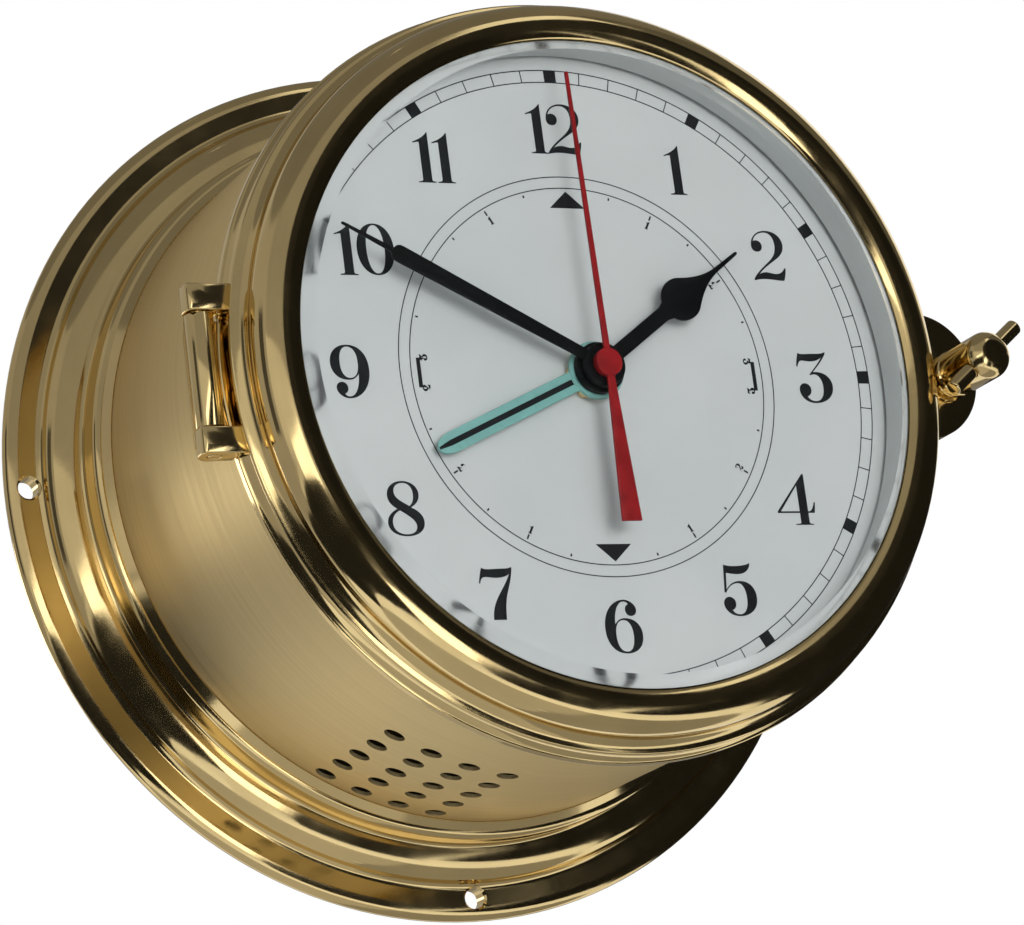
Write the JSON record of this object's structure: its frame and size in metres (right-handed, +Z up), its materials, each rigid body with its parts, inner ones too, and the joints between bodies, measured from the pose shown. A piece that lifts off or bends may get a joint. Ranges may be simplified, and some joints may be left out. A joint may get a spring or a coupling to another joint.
{
  "type": "ships clock",
  "caption": "Brass bulkhead clock: drum case on a wall flange, hinged glazed bezel with a screw latch, white time and tide dial, and a quartz movement that turns the hands.",
  "frame": {"origin": "centre of the wall flange's rear face, on the axis of the hands", "axes": "+X towards 3 o'clock, +Z up towards 12 o'clock, +Y back into the wall, so the dial faces -Y"},
  "size_m": [0.18, 0.098, 0.18],
  "materials": {
    "polished_brass": "polished",
    "satin_brass": "brushed round the drum",
    "white_enamel": "satin enamel with black printing",
    "clear_glass": "clear, bevelled at the edge",
    "black_lacquer": "satin",
    "red_lacquer": "satin",
    "aqua_plastic": "translucent tint",
    "black_plastic": "moulded",
    "white_plastic": "moulded",
    "steel": "bright",
    "copper_wire": "enamelled copper winding",
    "green_board": "solder mask",
    "black_rubber": "matt",
    "cell_wrap": "plain printed wrap"
  },
  "bodies": {
    "case": {"mounting_flange": "polished_brass", "case_drum": "satin_brass", "dial_seat_ring": "satin_brass", "dial_plate": "white_enamel", "dial_screw_1": "steel", "dial_screw_2": "steel", "dial_screw_3": "steel", "case_hinge_knuckle": "polished_brass", "hinge_pin": "polished_brass", "case_latch_lug": "polished_brass", "movement_front_shell": "black_plastic", "movement_rear_cover": "white_plastic", "centre_bush": "polished_brass", "fixing_nut": "polished_brass", "rubber_washer": "black_rubber", "stator_plate": "steel", "drive_coil": "copper_wire", "circuit_board": "green_board", "quartz_crystal": "steel", "battery_cell": "cell_wrap", "battery_contact_positive": "steel", "battery_contact_negative": "steel"},
    "bezel": {"bezel_ring": "polished_brass", "bezel_glass": "clear_glass", "glass_retaining_ring": "white_enamel", "bezel_hinge_lug_upper": "polished_brass", "bezel_hinge_lug_lower": "polished_brass", "bezel_latch_ear": "polished_brass"},
    "latch_washer": {"latch_washer": "polished_brass"},
    "latch_screw": {"latch_screw": "polished_brass", "latch_tommy_bar": "polished_brass"},
    "second": {"second_hand": "red_lacquer", "second_wheel": "white_plastic"},
    "minute": {"minute_hand": "black_lacquer", "minute_wheel": "white_plastic"},
    "hour": {"hour_hand": "black_lacquer", "hour_wheel": "white_plastic"},
    "tide": {"tide_hand": "aqua_plastic", "tide_wheel": "white_plastic"},
    "motion": {"motion_wheel": "white_plastic", "time_setting_knob": "black_plastic"},
    "intermediate": {"intermediate_wheel": "white_plastic"},
    "third": {"third_wheel": "white_plastic"},
    "rotor": {"motor_rotor": "steel"},
    "tide_idler": {"tide_idler": "white_plastic"}
  },
  "joints": [
    {"name": "bezel_hinge", "type": "hinge", "parent": "case", "child": "bezel", "pos_m": [-0.0782, -0.0793, 0], "axis": [0, 0, -1], "range_deg": [0, 110]},
    {"name": "latch_travel", "type": "slide", "parent": "bezel", "child": "latch_washer", "axis": [0, -1, 0], "range_m": [0, 0.004]},
    {"name": "latch_turn", "type": "hinge", "parent": "latch_washer", "child": "latch_screw", "pos_m": [0.0798, -0.09, 0], "axis": [0, -1, 0], "range_deg": [0, 1800]},
    {"name": "second_turn", "type": "hinge", "parent": "case", "child": "second", "pos_m": [0, -0.085, 0], "axis": [0, 1, 0], "continuous": true},
    {"name": "minute_turn", "type": "hinge", "parent": "case", "child": "minute", "pos_m": [0, -0.085, 0], "axis": [0, 1, 0], "continuous": true},
    {"name": "hour_turn", "type": "hinge", "parent": "case", "child": "hour", "pos_m": [0, -0.085, 0], "axis": [0, 1, 0], "continuous": true},
    {"name": "tide_turn", "type": "hinge", "parent": "case", "child": "tide", "pos_m": [0, -0.085, 0], "axis": [0, 1, 0], "continuous": true},
    {"name": "intermediate_turn", "type": "hinge", "parent": "case", "child": "intermediate", "pos_m": [-0.0136, -0.068, 0], "axis": [0, 1, 0], "continuous": true},
    {"name": "third_turn", "type": "hinge", "parent": "case", "child": "third", "pos_m": [0, -0.068, 0.0132], "axis": [0, 1, 0], "continuous": true},
    {"name": "rotor_turn", "type": "hinge", "parent": "case", "child": "rotor", "pos_m": [-0.01091, -0.068, 0.0195], "axis": [0, 1, 0], "continuous": true},
    {"name": "motion_turn", "type": "hinge", "parent": "case", "child": "motion", "pos_m": [0.0132, -0.068, 0], "axis": [0, 1, 0], "continuous": true},
    {"name": "tide_idler_turn", "type": "hinge", "parent": "case", "child": "tide_idler", "pos_m": [0.01334, -0.075, 0.0077], "axis": [0, 1, 0], "continuous": true}
  ],
  "couplings": [
    {"joint": "latch_turn", "follows": "latch_travel", "rad_per_m": 7854},
    {"joint": "minute_turn", "follows": "second_turn", "ratio": 0.016667},
    {"joint": "hour_turn", "follows": "second_turn", "ratio": 0.0013889},
    {"joint": "tide_turn", "follows": "second_turn", "ratio": 0.0013418},
    {"joint": "intermediate_turn", "follows": "second_turn", "ratio": -0.13333},
    {"joint": "third_turn", "follows": "second_turn", "ratio": -5},
    {"joint": "rotor_turn", "follows": "second_turn", "ratio": 30},
    {"joint": "motion_turn", "follows": "second_turn", "ratio": -0.0055556},
    {"joint": "tide_idler_turn", "follows": "second_turn", "ratio": -0.0039583}
  ]
}
